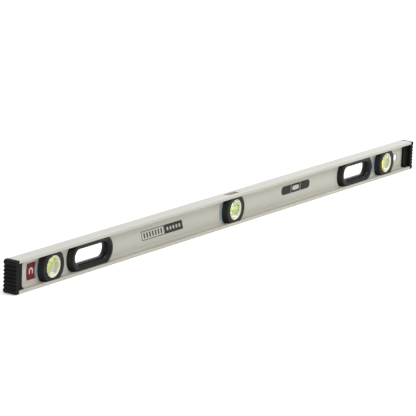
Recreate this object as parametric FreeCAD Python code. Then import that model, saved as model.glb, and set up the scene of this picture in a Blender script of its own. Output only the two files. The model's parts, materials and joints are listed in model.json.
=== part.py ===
import FreeCAD, Part
import math
import os

V = FreeCAD.Vector
UP = V(0, 0, 1)
ALONG = V(1, 0, 0)
ACROSS = V(0, 1, 0)

# Frame: X along the level, Z up, front face towards -Y, origin at the middle of the base. Millimetres.
# Cutters run past the faces they open by OVER. Round ends are ROUND of a full half circle.
OVER = 1.0
ROUND = 0.98

# Beam: an aluminium I section.
BEAM_LENGTH = 1200.0
BEAM_WIDTH = 25.0
BEAM_HEIGHT = 54.0
FLANGE = 5.0
WEB = 2.4
WEB_FILLET = 3.2
BEAM_EDGE = 0.5
HANG_HOLE_X = 561.0
HANG_HOLE_R = 6.0
MID_Z = BEAM_HEIGHT / 2

# Vial units: centres along the beam, tube slope in degrees from horizontal.
VIAL_X = {"slope": -511.8, "level": 0.0, "plumb": 511.8}
VIAL_ANGLE = {"slope": 45.0, "level": 0.0, "plumb": 90.0}
WEB_HOLE_R = 20.0
PLATE_R = 36.5
PLATE_T = 1.0
PLATE_HALF_Z = 13.8
BEZEL_BASE_R = 31.2
BEZEL_FRONT_R = 26.5
FRONT_Y = 11.3
BEZEL_EDGE = 1.6
LIP_R = 18.15
LIP_T = 1.25
SLEEVE_OUT_R = 19.2
SLEEVE_IN_R = 18.2
BLOCK_R = 18.15
BLOCK_HALF = 6.0
FIT = 0.05

# Vial tube inside the clear block.
TUBE_R = 4.75
TUBE_HALF = 14.5
PLUG_END = 17.3
LINE_GAP = 10.0
LINE_W = 0.5
LINE_DEPTH = 0.3
BUBBLE_GAP = 0.25
# Bubble radius, length, offset above the tube axis, rest place and travel each way along the tube.
BUBBLE = {
    "slope": (2.5, 7.5, 1.8, 10.3, 18.0, 0.0),
    "level": (2.2, 9.0, 2.1, 0.0, 7.0, 7.0),
    "plumb": (3.0, 6.0, 0.0, 11.05, 20.0, 0.0),
}

# Reading notch above the level vial.
NOTCH_HALF_X = 17.0
NOTCH_HALF_Y = 5.5
NOTCH_FLOOR = 43.0
WINDOW_BASE = 46.5
WINDOW_TOP = 52.5
SLOT_HALF_X = 13.5
SLOT_HALF_Y = 3.8

# Hand grips: a ring with long straight sides, held between the flanges.
GRIP_X = {"left": -407.8, "right": 407.8}
GRIP_END = 30.4
GRIP_BASE_R = 29.5
GRIP_FRONT_R = 23.2
GRIP_FRONT_Y = 9.4
GRIP_EDGE = 2.0
GRIP_HOLE_HALF = 42.2
GRIP_HOLE_Z = 11.8
GRIP_HOLE_R = 11.7
GRIP_ROUND = 8.0
GRIP_WALL = 1.5
SLOT_CLEAR = 0.2

# Screws, driven from the rear.
VIAL_SCREW = 22.3
SCREW_R = 1.2
SCREW_HEAD_R = 2.0
SCREW_HEAD_T = 1.4
SCREW_SINK = 2.0
SCREW_TIP = 7.0
WEB_SCREW_R = 1.6
DRIVE_LENGTH = 2.6
DRIVE_WIDTH = 0.5
DRIVE_DEPTH = 0.7

# End caps: the end face is a wave of ribs and grooves.
CAP_T = 10.0
CAP_CORNER = 4.5
CAP_EDGE = 0.4
GROOVE_PITCH = 6.1
GROOVE_COUNT = 7
GROOVE_DEPTH = 2.6
SKIRT_LENGTH = 15.5
SKIRT_WEB_T = 4.2
SKIRT_FLANGE_T = 1.2
SKIRT_REACH = 9.0
SKIRT_BEND = 4.5

# Magnets let into the base.
MAGNET_X = (-500.0, -300.0, -100.0, 100.0, 300.0, 500.0)
MAGNET_R = 5.0
MAGNET_T = 2.5
MAGNET_RECESS = 0.05

# Printed labels on the front of the web.
LABEL_T = 0.2
LABEL_IN_R = 37.2
LABEL_OUT_R = 57.6
LABEL_HALF_Z = 13.8
LABEL_CORNER = 1.2
SIGN_X = -557.8
SIGN_OUT_R = 5.3
SIGN_IN_R = 2.5
SIGN_LEG = 3.2
SIGN_TIP = 1.4
SIGN_TIP_GAP = 0.5
SIGN_RISE = 0.6
BADGE_X = (-265.0, -201.0, -148.0)
BADGE_HALF_Z = 8.2
BADGE_LEAN = 6.0
BADGE_LINE = 1.1
BADGE_BARS = 7
BADGE_BAR_W = 3.2
BADGE_BAR_HALF = 4.6
BADGE_SLOTS = 5
BADGE_SLOT_W = 4.6
BADGE_SLOT_HALF = 3.0
MARK_X = 206.5
MARK_HALF = 47.0
MARK_HALF_Z = 8.0
MARK_LINE = 1.4
MARK_TICK = 15.0
MARK_BUBBLE_HALF = 11.0
MARK_BUBBLE_Z = 4.2
MARK_RISE = 3.0


def box(x0, x1, y0, y1, z0, z1):
    return Part.makeBox(x1 - x0, y1 - y0, z1 - z0, V(x0, y0, z0))


def rod_y(r, y0, y1, x, z):
    return Part.makeCylinder(r, y1 - y0, V(x, y0, z), ACROSS)


def tube_y(r_out, r_in, y0, y1, x, z):
    return rod_y(r_out, y0, y1, x, z).cut(rod_y(r_in, y0 - OVER, y1 + OVER, x, z))


def rear(shape):
    """The same piece on the other side of the web."""
    return shape.mirror(V(0, 0, 0), ACROSS)


def edges_where(shape, test):
    return [e for e in shape.Edges if all(test(v.Point) for v in e.Vertexes) and test(e.CenterOfMass)]


def rounded_bar_y(half_x, half_z, r, y0, y1, x, z):
    """A bar along Y with a rounded rectangle for its section."""
    bar = box(x - half_x, x + half_x, y0, y1, z - half_z, z + half_z)
    upright = [e for e in bar.Edges if abs(e.tangentAt(e.FirstParameter).y) > 0.99]
    return bar.makeFillet(r, upright)


def lined_space(x0, x1, web_inset, flange_inset, r):
    """The open space in front of the web, drawn in from its walls, with its inner corners rounded."""
    y_web = -WEB / 2 - web_inset
    space = box(x0, x1, -BEAM_WIDTH, y_web, FLANGE + flange_inset, BEAM_HEIGHT - FLANGE - flange_inset)
    corners = edges_where(space, lambda p: abs(p.y - y_web) < 1e-6)
    corners = [e for e in corners if abs(e.tangentAt(e.FirstParameter).x) > 0.99]
    return space.makeFillet(r, corners)


def channel(x0, x1, inset):
    """The open space in front of the web, drawn in evenly from its walls."""
    return lined_space(x0, x1, inset, inset, WEB_FILLET - inset)


def save(name, shape):
    shape.exportStep(os.path.join("parts", name + ".step"))


def turn_into_place(shape, kind):
    """Move a piece drawn along X about the origin to its vial's place and slope."""
    placed = shape.copy()
    placed.rotate(V(0, 0, 0), ACROSS, -VIAL_ANGLE[kind])
    placed.translate(V(VIAL_X[kind], 0, MID_Z))
    return placed


def notch():
    """Reading notch through the top flange, down to the clear block."""
    return box(-NOTCH_HALF_X, NOTCH_HALF_X, -NOTCH_HALF_Y, NOTCH_HALF_Y, NOTCH_FLOOR, BEAM_HEIGHT + OVER)


def reading_slot():
    """Narrow opening through the white sleeve, under the notch."""
    return box(-SLOT_HALF_X, SLOT_HALF_X, -SLOT_HALF_Y, SLOT_HALF_Y, NOTCH_FLOOR, BEAM_HEIGHT + OVER)


def top_window():
    """Clear insert that fills the notch to just below the top face."""
    half_x = NOTCH_HALF_X - FIT
    half_y = NOTCH_HALF_Y - FIT
    return box(-half_x, half_x, -half_y, half_y, WINDOW_BASE, WINDOW_TOP)


def beam():
    half = BEAM_LENGTH / 2
    body = box(-half, half, -BEAM_WIDTH / 2, BEAM_WIDTH / 2, 0, BEAM_HEIGHT)
    long_edges = [e for e in body.Edges if e.Length > BEAM_LENGTH / 2]
    body = body.makeFillet(BEAM_EDGE, long_edges)
    space = channel(-half - OVER, half + OVER, 0)
    cuts = [space, rear(space), notch()]
    for x in VIAL_X.values():
        cuts.append(rod_y(WEB_HOLE_R, -BEAM_WIDTH, BEAM_WIDTH, x, MID_Z))
    for x in GRIP_X.values():
        grown = GRIP_WALL + SLOT_CLEAR
        cuts.append(rounded_bar_y(GRIP_HOLE_HALF + grown, GRIP_HOLE_Z + grown, GRIP_HOLE_R + grown,
                                  -BEAM_WIDTH, BEAM_WIDTH, x, MID_Z))
    cuts.append(rod_y(HANG_HOLE_R, -BEAM_WIDTH, BEAM_WIDTH, HANG_HOLE_X, MID_Z))
    for x in VIAL_X.values():
        cuts += [rod_y(WEB_SCREW_R, -WEB, WEB, x + s * VIAL_SCREW, MID_Z) for s in (-1, 1)]
    depth = MAGNET_T + 2 * MAGNET_RECESS
    cuts += [Part.makeCylinder(MAGNET_R + FIT, depth + OVER, V(x, 0, -OVER), UP) for x in MAGNET_X]
    return body.cut(Part.makeCompound(cuts))


def magnets():
    discs = [Part.makeCylinder(MAGNET_R, MAGNET_T, V(x, 0, MAGNET_RECESS), UP) for x in MAGNET_X]
    return Part.makeCompound(discs)


def skirt(x0, x1):
    """Rubber tongue that lines the channel in front of the web."""
    tongue = channel(x0, x1, FIT).common(box(x0, x1, -SKIRT_REACH, 0, 0, BEAM_HEIGHT))
    return tongue.cut(lined_space(x0 - OVER, x1 + OVER, SKIRT_WEB_T, SKIRT_FLANGE_T, SKIRT_BEND))


def cap_outline(x_in, x_out):
    """Side outline of the left cap: rounded corners, and an end of ribs and grooves made of equal arcs."""
    half = GROOVE_PITCH / 4
    rise = GROOVE_DEPTH / 2
    r = (half * half + rise * rise) / (2 * rise)
    turn = math.asin(half / r) / 2
    bend = math.sqrt(0.5)
    x_mid = x_out + rise
    x_turn = x_out + CAP_CORNER
    z_top = BEAM_HEIGHT
    first = MID_Z - (GROOVE_COUNT - 1) / 2 * GROOVE_PITCH
    last = MID_Z + (GROOVE_COUNT - 1) / 2 * GROOVE_PITCH

    def line(xa, za, xb, zb):
        return Part.makeLine(V(xa, 0, za), V(xb, 0, zb))

    def arc(xa, za, xm, zm, xb, zb):
        return Part.Arc(V(xa, 0, za), V(xm, 0, zm), V(xb, 0, zb)).toShape()

    inner = CAP_CORNER * (1 - bend)
    start = first - 2 * half
    stop = last + 2 * half
    dip = r * (1 - math.cos(turn))
    run = r * math.sin(turn)
    edges = [line(x_in, 0, x_turn, 0)]
    edges.append(arc(x_turn, 0, x_out + inner, inner, x_out, CAP_CORNER))
    edges.append(line(x_out, CAP_CORNER, x_out, start))
    edges.append(arc(x_out, start, x_out + dip, start + run, x_mid, start + half))
    for i in range(GROOVE_COUNT):
        z = first + i * GROOVE_PITCH
        edges.append(arc(x_mid, z - half, x_mid + rise, z, x_mid, z + half))
        if i < GROOVE_COUNT - 1:
            edges.append(arc(x_mid, z + half, x_out, z + 2 * half, x_mid, z + 3 * half))
    edges.append(arc(x_mid, stop - half, x_out + dip, stop - run, x_out, stop))
    edges.append(line(x_out, stop, x_out, z_top - CAP_CORNER))
    edges.append(arc(x_out, z_top - CAP_CORNER, x_out + inner, z_top - inner, x_turn, z_top))
    edges.append(line(x_turn, z_top, x_in, z_top))
    edges.append(line(x_in, z_top, x_in, 0))
    return Part.Wire(edges)


def left_cap():
    """End cap for the left end."""
    x_in = -BEAM_LENGTH / 2
    x_out = x_in - CAP_T
    body = Part.Face(cap_outline(x_in, x_out)).extrude(V(0, BEAM_WIDTH, 0))
    body.translate(V(0, -BEAM_WIDTH / 2, 0))
    sides = [e for e in body.Edges
             if abs(abs(e.CenterOfMass.y) - BEAM_WIDTH / 2) < 1e-6 and e.CenterOfMass.x < x_in - 1e-6]
    body = body.makeFillet(CAP_EDGE, sides)
    tongue = skirt(x_in, x_in + SKIRT_LENGTH)
    return body.fuse([tongue, rear(tongue)]).removeSplitter()


def cone_head(base_y, base_r, front_y, front_r, edge, x):
    """Truncated cone standing on the web with a rounded front edge."""
    cone = Part.makeCone(base_r, front_r, front_y - base_y, V(x, -base_y, MID_Z), V(0, -1, 0))
    rim = [e for e in cone.Edges if len(e.Vertexes) == 1 and abs(e.Vertexes[0].Point.y + front_y) < 1e-6]
    return cone.makeFillet(edge, rim)


def screw_sockets(x):
    """Blind holes for the screw tips, in the front piece."""
    return [rod_y(SCREW_R + FIT, -SCREW_TIP - OVER, 0, x + s * VIAL_SCREW, MID_Z) for s in (-1, 1)]


def screw_passages(x):
    """Clearance holes and head recesses, in the rear piece."""
    holes = []
    for s in (-1, 1):
        xs = x + s * VIAL_SCREW
        holes.append(rod_y(SCREW_R + 2 * FIT, 0, BEAM_WIDTH, xs, MID_Z))
        holes.append(rod_y(SCREW_HEAD_R + 2 * FIT, FRONT_Y - SCREW_SINK, BEAM_WIDTH, xs, MID_Z))
    return holes


def screws(x):
    """Two cross-head screws, driven towards the front."""
    y_seat = FRONT_Y - SCREW_SINK + FIT
    y_top = y_seat + SCREW_HEAD_T
    made = []
    for s in (-1, 1):
        xs = x + s * VIAL_SCREW
        head = rod_y(SCREW_HEAD_R, y_seat, y_top, xs, MID_Z)
        shank = rod_y(SCREW_R, -SCREW_TIP, y_seat, xs, MID_Z)
        long_cut = box(xs - DRIVE_LENGTH / 2, xs + DRIVE_LENGTH / 2, y_top - DRIVE_DEPTH, y_top + OVER,
                       MID_Z - DRIVE_WIDTH / 2, MID_Z + DRIVE_WIDTH / 2)
        tall_cut = box(xs - DRIVE_WIDTH / 2, xs + DRIVE_WIDTH / 2, y_top - DRIVE_DEPTH, y_top + OVER,
                       MID_Z - DRIVE_LENGTH / 2, MID_Z + DRIVE_LENGTH / 2)
        made.append(head.fuse(shank).cut(long_cut).cut(tall_cut).removeSplitter())
    return Part.makeCompound(made)


def vial_bezel(kind):
    """Front half of a vial's black surround, before its screw holes."""
    x = VIAL_X[kind]
    base_y = WEB / 2 + PLATE_T
    head = cone_head(base_y, BEZEL_BASE_R, FRONT_Y, BEZEL_FRONT_R, BEZEL_EDGE, x)
    head = head.cut(rod_y(LIP_R, -BEAM_WIDTH, 0, x, MID_Z))
    head = head.cut(rod_y(SLEEVE_OUT_R + FIT, -FRONT_Y + LIP_T, 0, x, MID_Z))
    head = head.common(channel(x - PLATE_R, x + PLATE_R, 2 * FIT))
    if kind == "level":
        head = head.cut(notch())
    return head


def vial_plate(kind):
    """Thin clear plate between the web and the surround."""
    x = VIAL_X[kind]
    y_web = -WEB / 2
    plate = tube_y(PLATE_R, SLEEVE_OUT_R + FIT, y_web - PLATE_T, y_web, x, MID_Z)
    band = box(x - PLATE_R, x + PLATE_R, -BEAM_WIDTH, 0, MID_Z - PLATE_HALF_Z, MID_Z + PLATE_HALF_Z)
    plate = plate.common(band)
    for s in (-1, 1):
        plate = plate.cut(rod_y(WEB_SCREW_R, -BEAM_WIDTH, 0, x + s * VIAL_SCREW, MID_Z))
    if kind == "level":
        plate = plate.cut(notch())
    return plate


def vial_sleeve(kind):
    """White sleeve that lines the window."""
    x = VIAL_X[kind]
    half = FRONT_Y - LIP_T - FIT
    sleeve = tube_y(SLEEVE_OUT_R, SLEEVE_IN_R, -half, half, x, MID_Z)
    if kind == "level":
        sleeve = sleeve.cut(reading_slot())
    return sleeve


def capsule(r, s0, s1, n):
    """Round-ended rod from s0 to s1 along X, n above the axis."""
    if s1 - s0 - 2 * r < 1e-6:
        return Part.makeSphere(r, V((s0 + s1) / 2, 0, n))
    rod = Part.makeCylinder(r, s1 - s0 - 2 * r, V(s0 + r, 0, n), ALONG)
    ends = [Part.makeSphere(r, V(s, 0, n)) for s in (s0 + r, s1 - r)]
    return rod.fuse(ends).removeSplitter()


def gauge_line(s, r_in, r_out, width):
    outer = Part.makeCylinder(r_out, width, V(s - width / 2, 0, 0), ALONG)
    return outer.cut(Part.makeCylinder(r_in, width + 2 * OVER, V(s - width / 2 - OVER, 0, 0), ALONG))


def vial_block(kind):
    """Clear block with the tube bored into it from its lower or left end."""
    block = rod_y(BLOCK_R, -BLOCK_HALF, BLOCK_HALF, 0, 0)
    bore = Part.makeCylinder(TUBE_R, BLOCK_R * 2, V(TUBE_HALF - BLOCK_R * 2, 0, 0), ALONG)
    block = block.cut(bore)
    for s in (-LINE_GAP / 2, LINE_GAP / 2):
        block = block.cut(gauge_line(s, TUBE_R - OVER, TUBE_R + LINE_DEPTH + FIT, LINE_W + 2 * FIT))
    return turn_into_place(block, kind)


def vial_lines(kind):
    lines = [gauge_line(s, TUBE_R, TUBE_R + LINE_DEPTH, LINE_W) for s in (-LINE_GAP / 2, LINE_GAP / 2)]
    return turn_into_place(Part.makeCompound(lines), kind)


def vial_plug(kind):
    length = PLUG_END - TUBE_HALF
    return turn_into_place(Part.makeCylinder(TUBE_R - FIT, length, V(-PLUG_END, 0, 0), ALONG), kind)


def vial_fluid(kind):
    """Liquid that fills the tube, with the run the bubble moves in left open."""
    r, length, n, rest, down, up = BUBBLE[kind]
    end = TUBE_HALF - FIT
    fluid = Part.makeCylinder(TUBE_R - FIT, 2 * end, V(-end, 0, 0), ALONG)
    reach = length / 2 + BUBBLE_GAP
    run = capsule(r + BUBBLE_GAP, rest - down - reach, rest + up + reach, n)
    return turn_into_place(fluid.cut(run), kind)


def bubble(kind):
    r, length, n, rest, down, up = BUBBLE[kind]
    return turn_into_place(capsule(r, rest - length / 2, rest + length / 2, n), kind)


def grip_half(x):
    """Front half of a hand grip: it clips through the web to the rear half."""
    base_y = WEB / 2
    z_in = FLANGE + 2 * FIT
    middle = box(x - GRIP_END, x + GRIP_END, -GRIP_FRONT_Y, -base_y, z_in, BEAM_HEIGHT - z_in)
    ends = [cone_head(base_y, GRIP_BASE_R, GRIP_FRONT_Y, GRIP_FRONT_R, GRIP_EDGE, x + s * GRIP_END)
            for s in (-1, 1)]
    body = middle.fuse(ends)
    body = body.common(channel(x - BEAM_LENGTH / 2, x + BEAM_LENGTH / 2, 2 * FIT))
    collar = rounded_bar_y(GRIP_HOLE_HALF + GRIP_WALL, GRIP_HOLE_Z + GRIP_WALL, GRIP_HOLE_R + GRIP_WALL,
                           -base_y - OVER, -FIT / 2, x, MID_Z)
    hole = rounded_bar_y(GRIP_HOLE_HALF, GRIP_HOLE_Z, GRIP_HOLE_R, -BEAM_WIDTH, OVER, x, MID_Z)
    body = body.fuse(collar).cut(hole).removeSplitter()
    mouth = [e for e in body.Edges
             if abs(e.CenterOfMass.y + GRIP_FRONT_Y) < 1e-6
             and abs(e.CenterOfMass.x - x) < GRIP_HOLE_HALF + FIT
             and abs(e.CenterOfMass.z - MID_Z) < GRIP_HOLE_Z + FIT]
    return body.makeFillet(GRIP_ROUND, mouth)


def magnet_label():
    """Coloured label concentric with the left vial."""
    x = VIAL_X["slope"]
    y_web = -WEB / 2
    ring = tube_y(LABEL_OUT_R, LABEL_IN_R, y_web - LABEL_T, y_web, x, MID_Z)
    band = box(x - LABEL_OUT_R - OVER, x, -BEAM_WIDTH, 0, MID_Z - LABEL_HALF_Z, MID_Z + LABEL_HALF_Z)
    label = ring.common(band)
    corners = [e for e in label.Edges if abs(abs(e.tangentAt(e.FirstParameter).y) - 1) < 1e-6]
    return label.makeFillet(LABEL_CORNER, corners)


def magnet_sign():
    """Horseshoe magnet sign printed over the label."""
    y1 = -WEB / 2 - LABEL_T
    y0 = y1 - LABEL_T / 2
    z = MID_Z + SIGN_RISE
    bow = tube_y(SIGN_OUT_R, SIGN_IN_R, y0, y1, SIGN_X, z)
    bow = bow.common(box(SIGN_X - SIGN_OUT_R, SIGN_X + SIGN_OUT_R, y0, y1, z, z + SIGN_OUT_R))
    pieces = []
    for s in (-1, 1):
        a, b = sorted((SIGN_X + s * SIGN_IN_R, SIGN_X + s * SIGN_OUT_R))
        bow = bow.fuse(box(a, b, y0, y1, z - SIGN_LEG, z))
        tip_top = z - SIGN_LEG - SIGN_TIP_GAP
        pieces.append(box(a, b, y0, y1, tip_top - SIGN_TIP, tip_top))
    return Part.makeCompound([bow.removeSplitter()] + pieces)


def leaning(x0, x1, half_z, lean):
    """Flat slanted panel on the web, leaning back by lean over its height."""
    y = -WEB / 2
    shift = lean / 2
    corners = [(x0 + shift, -half_z), (x1 + shift, -half_z), (x1 - shift, half_z), (x0 - shift, half_z)]
    wire = Part.makePolygon([V(cx, y, MID_Z + cz) for cx, cz in corners + corners[:1]])
    return Part.Face(wire).extrude(V(0, -LABEL_T, 0))


def badge():
    """Outlined slanted panel with plain bars, and a filled panel beside it."""
    x0, x1, x2 = BADGE_X
    inner_lean = BADGE_LEAN * (BADGE_HALF_Z - BADGE_LINE) / BADGE_HALF_Z
    frame = leaning(x0, x1, BADGE_HALF_Z, BADGE_LEAN)
    frame = frame.cut(leaning(x0 + BADGE_LINE, x1 - BADGE_LINE, BADGE_HALF_Z - BADGE_LINE, inner_lean))
    panel = leaning(x1 + BADGE_LINE, x2, BADGE_HALF_Z, BADGE_LEAN)
    slot_pitch = (x2 - x1 - BADGE_LINE) / (BADGE_SLOTS + 1)
    slot_lean = BADGE_LEAN * BADGE_SLOT_HALF / BADGE_HALF_Z
    for i in range(BADGE_SLOTS):
        xm = x1 + BADGE_LINE + (i + 1) * slot_pitch
        panel = panel.cut(leaning(xm - BADGE_SLOT_W / 2, xm + BADGE_SLOT_W / 2, BADGE_SLOT_HALF, slot_lean))
    pieces = [frame, panel]
    pitch = (x1 - x0) / (BADGE_BARS + 1)
    bar_lean = BADGE_LEAN * BADGE_BAR_HALF / BADGE_HALF_Z
    for i in range(BADGE_BARS):
        xm = x0 + (i + 1) * pitch
        pieces.append(leaning(xm - BADGE_BAR_W / 2, xm + BADGE_BAR_W / 2, BADGE_BAR_HALF, bar_lean))
    return Part.makeCompound(pieces)


def vial_mark():
    """Plain sign of a vial: a filled capsule with two gauge lines and a bubble left open in it."""
    y1 = -WEB / 2
    y0 = y1 - LABEL_T
    z = MID_Z + MARK_RISE
    mark = rounded_bar_y(MARK_HALF, MARK_HALF_Z, MARK_HALF_Z * ROUND, y0, y1, MARK_X, z)
    for s in (-1, 1):
        xm = MARK_X + s * MARK_TICK
        mark = mark.cut(box(xm - MARK_LINE / 2, xm + MARK_LINE / 2, y0 - OVER, y1 + OVER,
                            z - MARK_HALF_Z, z + MARK_HALF_Z))
    oval = rounded_bar_y(MARK_BUBBLE_HALF, MARK_BUBBLE_Z, MARK_BUBBLE_Z * ROUND,
                         y0 - OVER, y1 + OVER, MARK_X, z)
    return mark.cut(oval)


def main():
    os.makedirs("parts", exist_ok=True)
    save("i_beam", beam())
    save("magnets", magnets())
    cap = left_cap()
    save("end_cap_left", cap)
    save("end_cap_right", cap.mirror(V(0, 0, 0), ALONG))
    for kind in VIAL_X:
        x = VIAL_X[kind]
        bezel = vial_bezel(kind)
        save("front_bezel_" + kind, bezel.cut(Part.makeCompound(screw_sockets(x))))
        save("rear_bezel_" + kind, rear(bezel).cut(Part.makeCompound(screw_passages(x))))
        plate = vial_plate(kind)
        save("front_plate_" + kind, plate)
        save("rear_plate_" + kind, rear(plate))
        save("sleeve_" + kind, vial_sleeve(kind))
        save("block_" + kind, vial_block(kind))
        save("lines_" + kind, vial_lines(kind))
        save("plug_" + kind, vial_plug(kind))
        save("fluid_" + kind, vial_fluid(kind))
        save("bubble_" + kind, bubble(kind))
        save("screws_" + kind, screws(x))
    save("top_window", top_window())
    for side in GRIP_X:
        half = grip_half(GRIP_X[side])
        save("grip_front_" + side, half)
        save("grip_rear_" + side, rear(half))
    save("magnet_label", magnet_label())
    save("magnet_sign", magnet_sign())
    save("badge", badge())
    save("vial_mark", vial_mark())


main()
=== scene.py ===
import json
import math

import bmesh
import bpy
from mathutils import Matrix, Vector


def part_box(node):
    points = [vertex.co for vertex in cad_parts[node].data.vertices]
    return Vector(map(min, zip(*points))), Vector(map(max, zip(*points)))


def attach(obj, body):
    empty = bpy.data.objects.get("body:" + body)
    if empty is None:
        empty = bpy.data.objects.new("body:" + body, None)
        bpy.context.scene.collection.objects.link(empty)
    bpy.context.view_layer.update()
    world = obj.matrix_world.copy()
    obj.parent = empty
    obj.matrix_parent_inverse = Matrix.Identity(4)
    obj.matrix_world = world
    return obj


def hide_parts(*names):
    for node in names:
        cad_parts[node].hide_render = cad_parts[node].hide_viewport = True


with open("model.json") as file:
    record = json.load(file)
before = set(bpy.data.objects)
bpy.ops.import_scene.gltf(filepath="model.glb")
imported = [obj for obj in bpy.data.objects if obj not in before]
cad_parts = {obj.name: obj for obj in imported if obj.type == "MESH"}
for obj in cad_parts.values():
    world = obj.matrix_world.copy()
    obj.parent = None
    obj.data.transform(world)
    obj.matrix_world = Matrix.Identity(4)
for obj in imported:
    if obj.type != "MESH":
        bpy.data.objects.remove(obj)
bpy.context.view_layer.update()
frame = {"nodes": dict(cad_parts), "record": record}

NODES = frame["nodes"]
MM = 0.001
KINDS = ("slope", "level", "plumb")
SLOPES = {"slope": 45.0, "level": 0.0, "plumb": 90.0}
SIDES = ("left", "right")
MILLED = 1                    # index of the beam's second material

# Camera, fitted to the photograph's perspective; angles in degrees.
CAMERA_PLACE = Vector((-3.5054, -2.3376, 1.0613))
CAMERA_YAW = 55.762
CAMERA_DIP = 13.800
CAMERA_ROLL = 2.297
CAMERA_LENS = 215.2

# Beam section.
FLANGE = 5.0 * MM
WEB_HALF = 1.2 * MM
WEB_FILLET = 3.2 * MM
LIP_ROUND = 0.6 * MM
WEB_HOLE_R = 20.0 * MM
GRIP_SLOT_X = 43.9 * MM
GRIP_SLOT_Z = 13.5 * MM
GRIP_SLOT_R = 13.4 * MM
HANG_HOLE_X = 561.0 * MM
HANG_HOLE_R = 6.0 * MM
NOTCH_X = 17.0 * MM
NOTCH_Y = 5.5 * MM
NOTCH_FLOOR = 43.0 * MM
MAGNET_COUNT = 6
POCKET_GAP = 0.05 * MM
WEB_SCREW_R = 1.6 * MM
CUTTER_REACH = 1.5            # half widths that a cutter through the web reaches
NOTCH_ROOF = 1.2              # heights of the beam that the notch's cutter reaches
FLAT_NORMAL = 0.99
SURFACE_TOLERANCE = 0.01 * MM
SMOOTH_ANGLE = math.radians(32)

# End caps. A tongue's reach is from the middle plane, and its thicknesses include its gap.
CAP_CORNER = 4.5 * MM
CAP_END_ROUND = 1.6 * MM
CAP_SIDE_ROUND = 0.5 * MM
GROOVE_PITCH = 6.1 * MM
GROOVE_COUNT = 7
GROOVE_DEPTH = 2.6 * MM
TONGUE_GAP = 0.05 * MM
TONGUE_WEB_T = 4.2 * MM
TONGUE_FLANGE_T = 1.2 * MM
TONGUE_REACH = 9.0 * MM
TONGUE_BEND = 4.5 * MM
TONGUE_LIP = 0.3 * MM

# Vials.
BLOCK_EDGE = 0.6 * MM
LIQUID_R = 4.72 * MM
LIQUID_HALF = 14.45 * MM
LIQUID_EDGE = 1.2 * MM
BORE_R = 4.75 * MM
BORE_END = 14.5 * MM
LINE_SEAT_R = 5.1 * MM
LINE_SEAT_W = 0.6 * MM
LINE_GAP = 10.0 * MM
BUBBLE_FULLNESS = 2.4         # 2 is an ellipse, more is nearer a cylinder
BUBBLE_STEPS = 20
ON_AXIS = 1e-7                # a lathe point nearer the axis than this closes the end

# Stage. Each light has a name, a place, a point it faces, a size and a power in watts.
FLOOR_HALF = 30.0
FLOOR_DROP = 0.2 * MM
LIGHTS = (
    ("top_soft", (0.5, 0.2, 2.6), (0.1, 0, 0), (3.5, 2.5), 8),
    ("side_key", (2.5, 0.2, 1.85), (0, 0, 0), (0.9, 0.9), 18),
    ("front_high", (0.5, -1.7, 2.4), (0.1, 0, 0), (2.4, 0.9), 40),
)


def principled(name, colour, roughness, metallic=0.0, **sockets):
    """A material with one Principled shader; extra sockets are given by name with _ for spaces."""
    material = bpy.data.materials.new(name)
    material.use_nodes = True
    shader = material.node_tree.nodes["Principled BSDF"]
    shader.inputs["Base Color"].default_value = (*colour, 1.0)
    shader.inputs["Roughness"].default_value = roughness
    shader.inputs["Metallic"].default_value = metallic
    for key, value in sockets.items():
        shader.inputs[key.replace("_", " ")].default_value = value
    return material


def noise(material, scale, stretch=(1, 1, 1), detail=3.0):
    """Noise over the object's own coordinates, in metres; scale is features per metre."""
    tree = material.node_tree
    coords = tree.nodes.new("ShaderNodeTexCoord")
    mapping = tree.nodes.new("ShaderNodeMapping")
    mapping.inputs["Scale"].default_value = stretch
    tree.links.new(coords.outputs["Object"], mapping.inputs["Vector"])
    texture = tree.nodes.new("ShaderNodeTexNoise")
    texture.inputs["Scale"].default_value = scale
    texture.inputs["Detail"].default_value = detail
    tree.links.new(mapping.outputs["Vector"], texture.inputs["Vector"])
    return texture.outputs["Fac"]


def ramp(material, value, low, high, at=(0.3, 0.7)):
    """Maps a 0 to 1 value to colours between low and high."""
    node = material.node_tree.nodes.new("ShaderNodeValToRGB")
    node.color_ramp.elements[0].position = at[0]
    node.color_ramp.elements[1].position = at[1]
    node.color_ramp.elements[0].color = (*low, 1.0)
    node.color_ramp.elements[1].color = (*high, 1.0)
    material.node_tree.links.new(value, node.inputs["Fac"])
    return node.outputs["Color"]


def span(material, value, low, high):
    """Maps a 0 to 1 value to the range low to high."""
    node = material.node_tree.nodes.new("ShaderNodeMapRange")
    node.inputs["To Min"].default_value = low
    node.inputs["To Max"].default_value = high
    material.node_tree.links.new(value, node.inputs["Value"])
    return node.outputs["Result"]


def colour_from(material, output):
    material.node_tree.links.new(output, material.node_tree.nodes["Principled BSDF"].inputs["Base Color"])


def roughness_from(material, output):
    material.node_tree.links.new(output, material.node_tree.nodes["Principled BSDF"].inputs["Roughness"])


def bump_from(material, height, strength, distance):
    """Adds a bump under any bump already there."""
    tree = material.node_tree
    shader = tree.nodes["Principled BSDF"]
    node = tree.nodes.new("ShaderNodeBump")
    node.inputs["Strength"].default_value = strength
    node.inputs["Distance"].default_value = distance
    tree.links.new(height, node.inputs["Height"])
    if shader.inputs["Normal"].is_linked:
        before = shader.inputs["Normal"].links[0].from_socket
        tree.links.new(before, node.inputs["Normal"])
    tree.links.new(node.outputs["Normal"], shader.inputs["Normal"])


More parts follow.
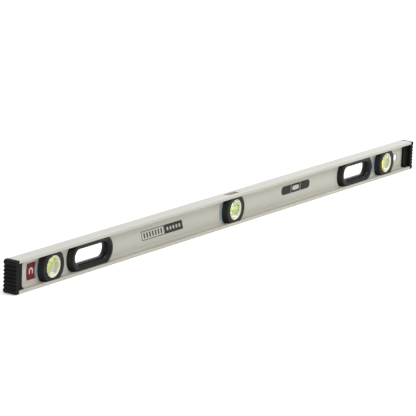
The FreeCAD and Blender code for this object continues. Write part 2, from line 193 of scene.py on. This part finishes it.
def beam_paint():
    """Satin anodised extrusion: warm grey, faint drawing lines along the beam."""
    material = principled("beam_satin", (0.4, 0.39, 0.34), 0.5, 0.12, Specular_IOR_Level=0.3)
    clouds = noise(material, 14.0, (0.3, 1, 1), 4.0)
    colour_from(material, ramp(material, clouds, (0.375, 0.365, 0.32), (0.425, 0.415, 0.365)))
    roughness_from(material, span(material, noise(material, 60.0, (0.1, 1, 1)), 0.42, 0.56))
    bump_from(material, noise(material, 1400.0, (0.01, 1, 1), 2.0), 0.25, 0.03 * MM)
    bump_from(material, noise(material, 5000.0), 0.15, 0.01 * MM)
    return material


def beam_milled():
    """Machined working edges: brighter, with fine cutter lines along the beam."""
    material = principled("beam_milled", (0.5, 0.495, 0.465), 0.4, 0.45)
    streaks = noise(material, 900.0, (0.012, 1, 1), 3.0)
    colour_from(material, ramp(material, streaks, (0.455, 0.45, 0.42), (0.545, 0.54, 0.51)))
    roughness_from(material, span(material, noise(material, 35.0, (0.2, 1, 1)), 0.34, 0.48))
    bump_from(material, streaks, 0.3, 0.03 * MM)
    return material


def moulded(name, colour, roughness, grain, strength, **sockets):
    """Moulded black plastic or rubber with an eroded fine grain and slight shade changes."""
    material = principled(name, colour, roughness, **sockets)
    patches = noise(material, 45.0, detail=4.0)
    darker = [c * 0.8 for c in colour]
    lighter = [c * 1.3 for c in colour]
    colour_from(material, ramp(material, patches, darker, lighter))
    roughness_from(material, span(material, noise(material, 120.0), roughness - 0.06, roughness + 0.08))
    bump_from(material, noise(material, grain, detail=2.0), strength, 0.05 * MM)
    return material


def metal(name, colour, roughness):
    material = principled(name, colour, roughness, 1.0)
    bump_from(material, noise(material, 2500.0, (1, 1, 0.1)), 0.1, 0.02 * MM)
    roughness_from(material, span(material, noise(material, 700.0), roughness - 0.05, roughness + 0.1))
    return material


def ink(name, colour, roughness, **sockets):
    """Printed film or plain plastic: even colour with faint mottling."""
    material = principled(name, colour, roughness, **sockets)
    mottle = noise(material, 500.0, detail=5.0)
    darker = [c * 0.88 for c in colour]
    lighter = [min(1, c * 1.1) for c in colour]
    colour_from(material, ramp(material, mottle, darker, lighter))
    bump_from(material, noise(material, 1800.0), 0.05, 0.02 * MM)
    return material


def clear(name, colour, ior, roughness=0.02, passing=1.0, **sockets):
    """Clear plastic or liquid; passing below 1 makes it milky. ior is tuned to the look, not physical."""
    material = principled(name, colour, roughness, Transmission_Weight=passing, IOR=ior, **sockets)
    roughness_from(material, span(material, noise(material, 300.0), roughness, roughness + 0.03))
    return material


def liquid(name, colour, painted_glow):
    """Clear dyed liquid with a painted glow of its own colour that stands in for light passing through the
    block, tuned to the photograph's tones.
    """
    return clear(name, colour, 1.04, Emission_Color=(*painted_glow, 1.0), Emission_Strength=0.4)


def make_materials():
    """Materials by the record's slot, or by node where a node has its own, and the beam's milled faces."""
    return {
        "beam_aluminium": beam_paint(),
        "milled": beam_milled(),
        "magnet_nickel": metal("magnet_nickel_plate", (0.62, 0.61, 0.58), 0.25),
        "cap_rubber": moulded("rubber_black", (0.006, 0.006, 0.006), 0.6, 1500.0, 0.3,
                              Specular_IOR_Level=0.1),
        "screw_steel": metal("zinc_screw", (0.45, 0.45, 0.46), 0.3),
        "bezel_black": moulded("bezel_plastic", (0.009, 0.009, 0.0085), 0.45, 2200.0, 0.25,
                               Specular_IOR_Level=0.14),
        "grip_black": moulded("grip_plastic", (0.005, 0.005, 0.005), 0.35, 1800.0, 0.05,
                              Specular_IOR_Level=0.08, Coat_Weight=0.15, Coat_Roughness=0.14),
        "plate_clear_blue": ink("plate_blue", (0.18, 0.245, 0.275), 0.25),
        "sleeve_white": ink("sleeve_satin", (0.9, 0.9, 0.84), 0.4),
        # The window's emission is a painted glow that brightens the reading notch.
        "top_window": clear("window_acrylic_painted_glow", (0.8, 0.8, 0.62), 1.25, 0.08,
                            Emission_Color=(0.6, 0.6, 0.42, 1.0), Emission_Strength=0.12),
        "block_clear": clear("acrylic", (0.86, 0.86, 0.7), 1.22, 0.05, 0.82),
        # Each liquid's glow colour is painted light. The slope liquid's darker colour and glow are also
        # painted shade of its deeper window.
        "fluid_slope": liquid("liquid_slope_painted_shade", (0.5, 0.56, 0.01), (0.38, 0.43, 0.0)),
        "fluid_level": liquid("liquid_level", (0.62, 0.93, 0.16), (0.5, 0.8, 0.08)),
        "fluid_plumb": liquid("liquid_plumb", (0.82, 0.9, 0.06), (0.6, 0.64, 0.02)),
        # The bubble's emission is a painted glow that makes it read as a lighter oval.
        "bubble_clear": clear("vial_bubble_painted_glow", (0.97, 1.0, 0.85), 1.25,
                              Emission_Color=(0.95, 1.0, 0.75, 1.0), Emission_Strength=0.25),
        "line_black": ink("line_ink", (0.02, 0.02, 0.02), 0.5),
        "plug_white": ink("plug_satin", (0.75, 0.75, 0.68), 0.4),
        "label_red": ink("label_film", (0.125, 0.006, 0.009), 0.5, Specular_IOR_Level=0.15),
        "print_white": ink("white_ink", (0.46, 0.4, 0.36), 0.5),
        "print_dark": ink("dark_ink", (0.02, 0.02, 0.019), 0.6, Specular_IOR_Level=0.2),
    }


def dress(obj, *materials):
    obj.data.materials.clear()
    for material in materials:
        obj.data.materials.append(material)


def mesh_object(name, bm):
    mesh = bpy.data.meshes.new(name)
    bm.normal_update()
    bm.to_mesh(mesh)
    bm.free()
    obj = bpy.data.objects.new(name, mesh)
    bpy.context.scene.collection.objects.link(obj)
    return obj


def smooth(obj, angle=SMOOTH_ANGLE):
    """Smooth faces with sharp edges above an angle, and normals weighted by face size."""
    bm = bmesh.new()
    bm.from_mesh(obj.data)
    for face in bm.faces:
        face.smooth = True
    for edge in bm.edges:
        edge.smooth = len(edge.link_faces) == 2 and edge.calc_face_angle(0.0) < angle
    bm.to_mesh(obj.data)
    bm.free()
    weighted = obj.modifiers.new("weighted", "WEIGHTED_NORMAL")
    weighted.keep_sharp = True
    weighted.weight = 80


def rounded_outline(corners, steps=8):
    """Closed outline from (a, b, radius) corners, with each corner turned into an arc."""
    points = []
    count = len(corners)
    for i, (a, b, r) in enumerate(corners):
        here = Vector((a, b))
        back = (Vector(corners[i - 1][:2]) - here).normalized()
        ahead = (Vector(corners[(i + 1) % count][:2]) - here).normalized()
        reach = r / math.tan(back.angle(ahead) / 2)
        centre = here + (back + ahead).normalized() * (r / math.sin(back.angle(ahead) / 2))
        start = here + back * reach - centre
        end = here + ahead * reach - centre
        turn = start.angle_signed(end)
        for k in range(steps + 1):
            spoke = start.copy()
            spoke.rotate(Matrix.Rotation(-turn * k / steps, 2))
            points.append(centre + spoke)
    return points


def solid_of_rings(name, rings):
    """Closed solid through rings of points, all of the same count, with a flat face at each end."""
    bm = bmesh.new()
    rings = [[bm.verts.new(point) for point in ring] for ring in rings]
    count = len(rings[0])
    for a, b in zip(rings, rings[1:]):
        for i in range(count):
            j = (i + 1) % count
            bm.faces.new((a[i], a[j], b[j], b[i]))
    bm.faces.new(rings[0][::-1])
    bm.faces.new(rings[-1])
    bmesh.ops.recalc_face_normals(bm, faces=bm.faces)
    return mesh_object(name, bm)


def prism_x(name, outline, x0, x1):
    """Solid with the given (y, z) outline, from x0 to x1."""
    return solid_of_rings(name, [[(x, y, z) for y, z in outline] for x in (x0, x1)])


def cutter_y(outline, reach):
    """Cutter with the given (x, z) outline, reaching the same way to front and rear."""
    return solid_of_rings("cutter", [[(x, y, z) for x, z in outline] for y in (-reach, reach)])


def circle_outline(x, z, r, steps=96):
    angles = [math.tau * k / steps for k in range(steps)]
    return [(x + r * math.cos(a), z + r * math.sin(a)) for a in angles]


def cut(obj, cutters):
    """Takes the cutters out of a piece. Overlapping cutters have left stray discs across a bore."""
    for cutter in cutters:
        modifier = obj.modifiers.new("cut", "BOOLEAN")
        modifier.operation = "DIFFERENCE"
        modifier.solver = "EXACT"
        modifier.object = cutter
    apply_modifiers(obj)
    for cutter in cutters:
        bpy.data.objects.remove(cutter)


def apply_modifiers(obj):
    graph = bpy.context.evaluated_depsgraph_get()
    mesh = bpy.data.meshes.new_from_object(obj.evaluated_get(graph))
    obj.modifiers.clear()
    obj.data = mesh


def lathe(name, profile, steps=72):
    """Solid of revolution about local X from (s, r) points; points with r 0 close the ends."""
    bm = bmesh.new()
    angles = [math.tau * k / steps for k in range(steps)]
    rings = []
    for s, r in profile:
        if r < ON_AXIS:
            rings.append([bm.verts.new((s, 0, 0))])
        else:
            rings.append([bm.verts.new((s, r * math.cos(a), r * math.sin(a))) for a in angles])
    for a, b in zip(rings, rings[1:]):
        for k in range(steps):
            m = (k + 1) % steps
            if len(a) == 1:
                bm.faces.new((a[0], b[m], b[k]))
            elif len(b) == 1:
                bm.faces.new((a[k], a[m], b[0]))
            else:
                bm.faces.new((a[k], a[m], b[m], b[k]))
    bmesh.ops.recalc_face_normals(bm, faces=bm.faces)
    return mesh_object(name, bm)


def centre_of(node):
    low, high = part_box(node)
    return (low + high) / 2


def half_size(node):
    low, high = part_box(node)
    return (high - low) / 2


def finish_piece(piece, material, node=None, body="level", angle=SMOOTH_ANGLE):
    """Dresses and smooths a piece, puts it under its body, and hides the CAD node it replaces."""
    dress(piece, material)
    smooth(piece, angle)
    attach(piece, body)
    if node:
        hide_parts(node)


def magnet_pockets():
    """Cutters for the round pockets in the base that hold the magnets."""
    low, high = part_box("magnets")
    r = high.y
    pitch = (high.x - low.x - 2 * r) / (MAGNET_COUNT - 1)
    top = high.z + POCKET_GAP
    cutters = []
    for i in range(MAGNET_COUNT):
        cutter = lathe("cutter", [(-top, 0), (-top, r + POCKET_GAP), (top, r + POCKET_GAP), (top, 0)], 48)
        upright = Matrix.Rotation(-math.pi / 2, 4, "Y")
        cutter.data.transform(Matrix.Translation((low.x + r + i * pitch, 0, 0)) @ upright)
        cutters.append(cutter)
    return cutters


def web_screw_holes(reach):
    """Cutters for the holes that let the surrounds' screws through the web."""
    cutters = []
    for kind in KINDS:
        middle, half = centre_of("screws_" + kind), half_size("screws_" + kind)
        for s in (-1, 1):
            x = middle.x + s * (half.x - half.z)
            cutters.append(cutter_y(circle_outline(x, middle.z, WEB_SCREW_R, 32), reach))
    return cutters


def make_beam(materials):
    """I-section with its windows, grip slots, hanging hole, reading notch, pockets and screw holes."""
    low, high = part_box("i_beam")
    wide, tall = high.y, high.z
    corners = [(-wide, 0, LIP_ROUND), (wide, 0, LIP_ROUND), (wide, FLANGE, LIP_ROUND),
               (WEB_HALF, FLANGE, WEB_FILLET), (WEB_HALF, tall - FLANGE, WEB_FILLET),
               (wide, tall - FLANGE, LIP_ROUND), (wide, tall, LIP_ROUND), (-wide, tall, LIP_ROUND),
               (-wide, tall - FLANGE, LIP_ROUND), (-WEB_HALF, tall - FLANGE, WEB_FILLET),
               (-WEB_HALF, FLANGE, WEB_FILLET), (-wide, FLANGE, LIP_ROUND)]
    beam = prism_x("beam", rounded_outline(corners), low.x, high.x)
    reach = wide * CUTTER_REACH
    mid = tall / 2
    holes = [(centre_of("block_" + kind).x, WEB_HOLE_R) for kind in KINDS]
    cutters = [cutter_y(circle_outline(x, mid, r), reach) for x, r in holes]
    for side in SIDES:
        x = centre_of("grip_front_" + side).x
        left, right = x - GRIP_SLOT_X, x + GRIP_SLOT_X
        below, above = mid - GRIP_SLOT_Z, mid + GRIP_SLOT_Z
        outline = rounded_outline([(left, below, GRIP_SLOT_R), (right, below, GRIP_SLOT_R),
                                   (right, above, GRIP_SLOT_R), (left, above, GRIP_SLOT_R)], 16)
        cutters.append(cutter_y(outline, reach))
    cutters.append(cutter_y(circle_outline(HANG_HOLE_X, mid, HANG_HOLE_R), reach))
    roof = tall * NOTCH_ROOF
    notch = [(-NOTCH_X, NOTCH_FLOOR), (NOTCH_X, NOTCH_FLOOR), (NOTCH_X, roof), (-NOTCH_X, roof)]
    cutters.append(cutter_y(notch, NOTCH_Y))
    cutters += magnet_pockets() + web_screw_holes(reach)
    cut(beam, cutters)
    dress(beam, materials["beam_aluminium"], materials["milled"])
    for face in beam.data.polygons:
        flat = abs(face.normal.z) > FLAT_NORMAL
        z = face.center.z
        outer = z > tall - SURFACE_TOLERANCE or z < SURFACE_TOLERANCE
        face.material_index = MILLED if flat and outer else 0
    smooth(beam)
    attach(beam, "level")
    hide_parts("i_beam")


def arc(cs, cr, r, a0, a1, steps=6):
    """Points of an arc in (s, r) space, angles in degrees."""
    angles = [math.radians(a0 + (a1 - a0) * k / steps) for k in range(steps + 1)]
    return [(cs + r * math.cos(a), cr + r * math.sin(a)) for a in angles]


def cap_outline(thick, tall):
    """Side outline of a cap, up its ribbed end: (depth from the end's face, height) points."""
    half = GROOVE_PITCH / 4
    rise = GROOVE_DEPTH / 2
    r = (half * half + rise * rise) / (2 * rise)
    swing = math.degrees(math.asin(half / r))
    first = tall / 2 - (GROOVE_COUNT - 1) / 2 * GROOVE_PITCH
    points = [(thick, 0.0)]
    points += arc(CAP_CORNER, CAP_CORNER, CAP_CORNER, 270, 180, 8)
    points += arc(r, first - 2 * half, r, 180, 180 - swing, 5)
    for i in range(GROOVE_COUNT):
        z = first + i * GROOVE_PITCH
        points += arc(GROOVE_DEPTH - r, z, r, -swing, swing, 10)[1:]
        last = i == GROOVE_COUNT - 1
        points += arc(r, z + 2 * half, r, 180 + swing, 180 if last else 180 - swing, 5 if last else 10)[1:]
    points += arc(CAP_CORNER, tall - CAP_CORNER, CAP_CORNER, 180, 90, 8)
    points.append((thick, tall))
    return points


def rounding(across, wide, r):
    """How far an edge of radius r draws the surface in, at a distance across from the middle."""
    into = max(0.0, (abs(across) - wide + r) / r)
    return r * (1 - math.sqrt(max(0.0, 1 - into * into)))


def make_cap(side, materials):
    """Ribbed end cap with rounded upright edges, and its two tongues."""
    node = "end_cap_" + side
    low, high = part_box(node)
    beam_low, beam_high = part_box("i_beam")
    out = -1 if side == "left" else 1
    x_beam = beam_low.x if side == "left" else beam_high.x
    x_end = low.x if side == "left" else high.x
    x_tongue = high.x if side == "left" else low.x
    thick = abs(x_end - x_beam)
    wide, tall = high.y, high.z
    outline = cap_outline(thick, tall)
    angles = [math.radians(90 * k / 10) for k in range(11)]
    upper = [wide - CAP_END_ROUND + CAP_END_ROUND * math.sin(a) for a in angles]
    rings = []
    for y in [-u for u in reversed(upper)] + upper:
        shrink = 1 - rounding(y, wide, CAP_END_ROUND) / thick
        inset = rounding(y, wide, CAP_SIDE_ROUND)
        ring = []
        for depth, z in outline:
            x = x_beam + out * (thick - depth) * shrink
            ring.append((x, y, min(max(z, inset), tall - inset)))
        rings.append(ring)
    cap = solid_of_rings("rubber_cap_" + side, rings)
    finish_piece(cap, materials["cap_rubber"], node)
    make_tongues(side, x_beam, x_tongue, tall, materials)


def make_tongues(side, x_beam, x_tongue, tall, materials):
    """The two parts of a cap that line the channels beside the web."""
    back = WEB_HALF + TONGUE_GAP
    floor, roof = FLANGE + TONGUE_GAP, tall - FLANGE - TONGUE_GAP
    front = WEB_HALF + TONGUE_WEB_T
    step, ceiling = FLANGE + TONGUE_FLANGE_T, tall - FLANGE - TONGUE_FLANGE_T
    corners = [(TONGUE_REACH, floor, TONGUE_LIP), (back, floor, WEB_FILLET), (back, roof, WEB_FILLET),
               (TONGUE_REACH, roof, TONGUE_LIP), (TONGUE_REACH, ceiling, TONGUE_LIP),
               (front, ceiling, TONGUE_BEND), (front, step, TONGUE_BEND),
               (TONGUE_REACH, step, TONGUE_LIP)]
    for name, way in (("front", -1), ("rear", 1)):
        section = rounded_outline([(way * y, z, r) for y, z, r in corners])
        tongue = prism_x("cap_tongue_" + name + "_" + side, section, x_beam, x_tongue)
        finish_piece(tongue, materials["cap_rubber"])


def place_along_tube(obj, kind, node):
    """Turns a piece drawn along X to its vial's slope and moves it to a node's middle."""
    turn = Matrix.Rotation(-math.radians(SLOPES[kind]), 4, "Y")
    obj.data.transform(Matrix.Translation(centre_of(node)) @ turn)


def rod_profile(half, r, edge):
    """Lathe profile of a rod with rounded rims."""
    return ([(-half, 0)] + arc(-half + edge, r - edge, edge, 180, 90)
            + arc(half - edge, r - edge, edge, 90, 0) + [(half, 0)])


def make_block(kind, materials):
    """Clear block with the tube's bore, closed at one end, and the seats of the two gauge lines."""
    node = "block_" + kind
    half = half_size(node)
    block = lathe("vial_block_" + kind, rod_profile(half.y, half.x, BLOCK_EDGE), 128)
    block.data.transform(Matrix.Translation(centre_of(node)) @ Matrix.Rotation(math.pi / 2, 4, "Z"))
    start = -2 * half.x
    hollow = [(start, 0), (start, BORE_R)]
    for middle in (-LINE_GAP / 2, LINE_GAP / 2):
        near, far = middle - LINE_SEAT_W / 2, middle + LINE_SEAT_W / 2
        hollow += [(near, BORE_R), (near, LINE_SEAT_R), (far, LINE_SEAT_R), (far, BORE_R)]
    bore = lathe("cutter", hollow + [(BORE_END, BORE_R), (BORE_END, 0)])
    place_along_tube(bore, kind, node)
    cut(block, [bore])
    finish_piece(block, materials["block_clear"], node)


def make_liquid(kind, materials):
    """Full rod of liquid. Unlike the CAD's, it leaves no run open: the bubble lies inside it."""
    node = "fluid_" + kind
    rod = lathe("vial_fluid_" + kind, rod_profile(LIQUID_HALF, LIQUID_R, LIQUID_EDGE))
    place_along_tube(rod, kind, "block_" + kind)
    finish_piece(rod, materials[node], node)


def bubble_size(kind):
    """Half length and radius of a vial's bubble, from the CAD box and its slope."""
    half = half_size("bubble_" + kind)
    radius = half.y
    lean = math.radians(SLOPES[kind])
    straight = (max(half.x, half.z) - radius) / max(math.cos(lean), math.sin(lean))
    return radius + straight, radius


def make_bubble(kind, materials):
    """Air bubble with full, rounded ends. It slides inside the rod of liquid."""
    node = "bubble_" + kind
    half, radius = bubble_size(kind)
    profile = [(-half, 0)]
    for k in range(1, BUBBLE_STEPS):
        s = -math.cos(math.pi * k / BUBBLE_STEPS)
        r = radius * (1 - abs(s) ** BUBBLE_FULLNESS) ** (1 / BUBBLE_FULLNESS)
        profile.append((half * s, r))
    bubble = lathe("air_bubble_" + kind, profile + [(half, 0)], 48)
    place_along_tube(bubble, kind, node)
    finish_piece(bubble, materials["bubble_clear"], node, kind + "_bubble", math.pi)


def add_area(name, place, aim, size, power):
    """Rectangular lamp that faces a point."""
    light = bpy.data.lights.new(name, "AREA")
    light.shape = "RECTANGLE"
    light.size, light.size_y = size
    light.energy = power
    obj = bpy.data.objects.new(name, light)
    obj.location = place
    obj.rotation_euler = (Vector(aim) - Vector(place)).to_track_quat("-Z", "Y").to_euler()
    bpy.context.scene.collection.objects.link(obj)


def make_stage():
    """Pale floor, plain world and soft lamps."""
    bm = bmesh.new()
    bmesh.ops.create_grid(bm, x_segments=1, y_segments=1, size=FLOOR_HALF)
    floor = mesh_object("floor", bm)
    floor.location.z = -FLOOR_DROP
    material = principled("pale_floor", (0.92, 0.92, 0.915), 0.9, Specular_IOR_Level=0.1,
                          Emission_Color=(1.0, 1.0, 0.99, 1.0), Emission_Strength=0.12)
    dress(floor, material)
    world = bpy.data.worlds.new("studio")
    world.use_nodes = True
    world.node_tree.nodes["Background"].inputs["Color"].default_value = (1.0, 0.995, 0.98, 1)
    world.node_tree.nodes["Background"].inputs["Strength"].default_value = 1.0
    bpy.context.scene.world = world
    for lamp in LIGHTS:
        add_area(*lamp)
    scene = bpy.context.scene
    scene.view_settings.view_transform = "Standard"
    scene.view_settings.look = "None"


def make_camera():
    """Camera turned by yaw from +Y towards +X, then down by dip, then about its view by roll."""
    yaw, dip, roll = (math.radians(a) for a in (CAMERA_YAW, CAMERA_DIP, CAMERA_ROLL))
    ahead = Vector((math.sin(yaw) * math.cos(dip), math.cos(yaw) * math.cos(dip), -math.sin(dip)))
    right = Vector((math.cos(yaw), -math.sin(yaw), 0))
    up = right.cross(ahead)
    right_rolled = right * math.cos(roll) + up * math.sin(roll)
    up_rolled = up * math.cos(roll) - right * math.sin(roll)
    turn = Matrix((right_rolled, up_rolled, -ahead)).transposed()
    data = bpy.data.cameras.new("camera")
    data.lens = CAMERA_LENS
    data.sensor_width = 36
    data.clip_end = 100
    camera = bpy.data.objects.new("camera", data)
    camera.matrix_world = Matrix.Translation(CAMERA_PLACE) @ turn.to_4x4()
    bpy.context.scene.collection.objects.link(camera)
    bpy.context.scene.camera = camera


def main():
    materials = make_materials()
    slots = {row["node"]: row["material_slot"] for row in frame["record"]["subparts"]}
    for name, obj in NODES.items():
        dress(obj, materials[name] if name in materials else materials[slots[name]])
    make_camera()
    make_stage()
    make_beam(materials)
    for side in SIDES:
        make_cap(side, materials)
    for kind in KINDS:
        make_block(kind, materials)
        make_liquid(kind, materials)
        make_bubble(kind, materials)


main()
